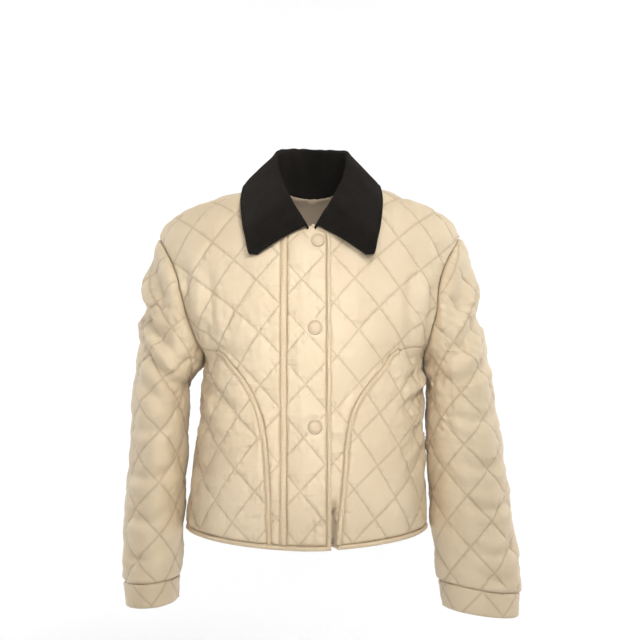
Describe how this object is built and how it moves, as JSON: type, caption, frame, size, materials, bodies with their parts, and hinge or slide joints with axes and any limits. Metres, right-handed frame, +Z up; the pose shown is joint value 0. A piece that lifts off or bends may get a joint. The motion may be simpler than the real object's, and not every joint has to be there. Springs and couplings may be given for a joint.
{
  "type": "quilted jacket",
  "caption": "Short diamond-quilted jacket in beige with a dark corduroy collar, snap placket and curved piped pocket seams, hollow as worn.",
  "frame": {"origin": "middle of the neck base, level with the neck ends of the shoulder seams", "axes": "+Z up, -Y towards the front of the jacket, +X towards the wearer's left sleeve"},
  "size_m": [0.569, 0.2907, 0.6744],
  "materials": {
    "shell": "satin",
    "binding": "satin",
    "corduroy": "matte",
    "snap_cap": "satin"
  },
  "bodies": {
    "root": {"back": "shell", "front_left": "shell", "front_right": "shell", "side_front_left": "shell", "side_front_right": "shell", "placket": "shell", "sleeve_left": "shell", "cuff_left": "shell", "sleeve_right": "shell", "cuff_right": "shell", "placket_strip": "binding", "placket_binding": "binding", "piping_left": "binding", "piping_right": "binding", "hem_binding_front_left": "binding", "hem_binding_front_right": "binding", "hem_binding_back": "binding", "collar": "corduroy", "snap_cap_top": "snap_cap", "snap_cap_middle": "snap_cap", "snap_cap_bottom": "snap_cap"}
  },
  "joints": []
}
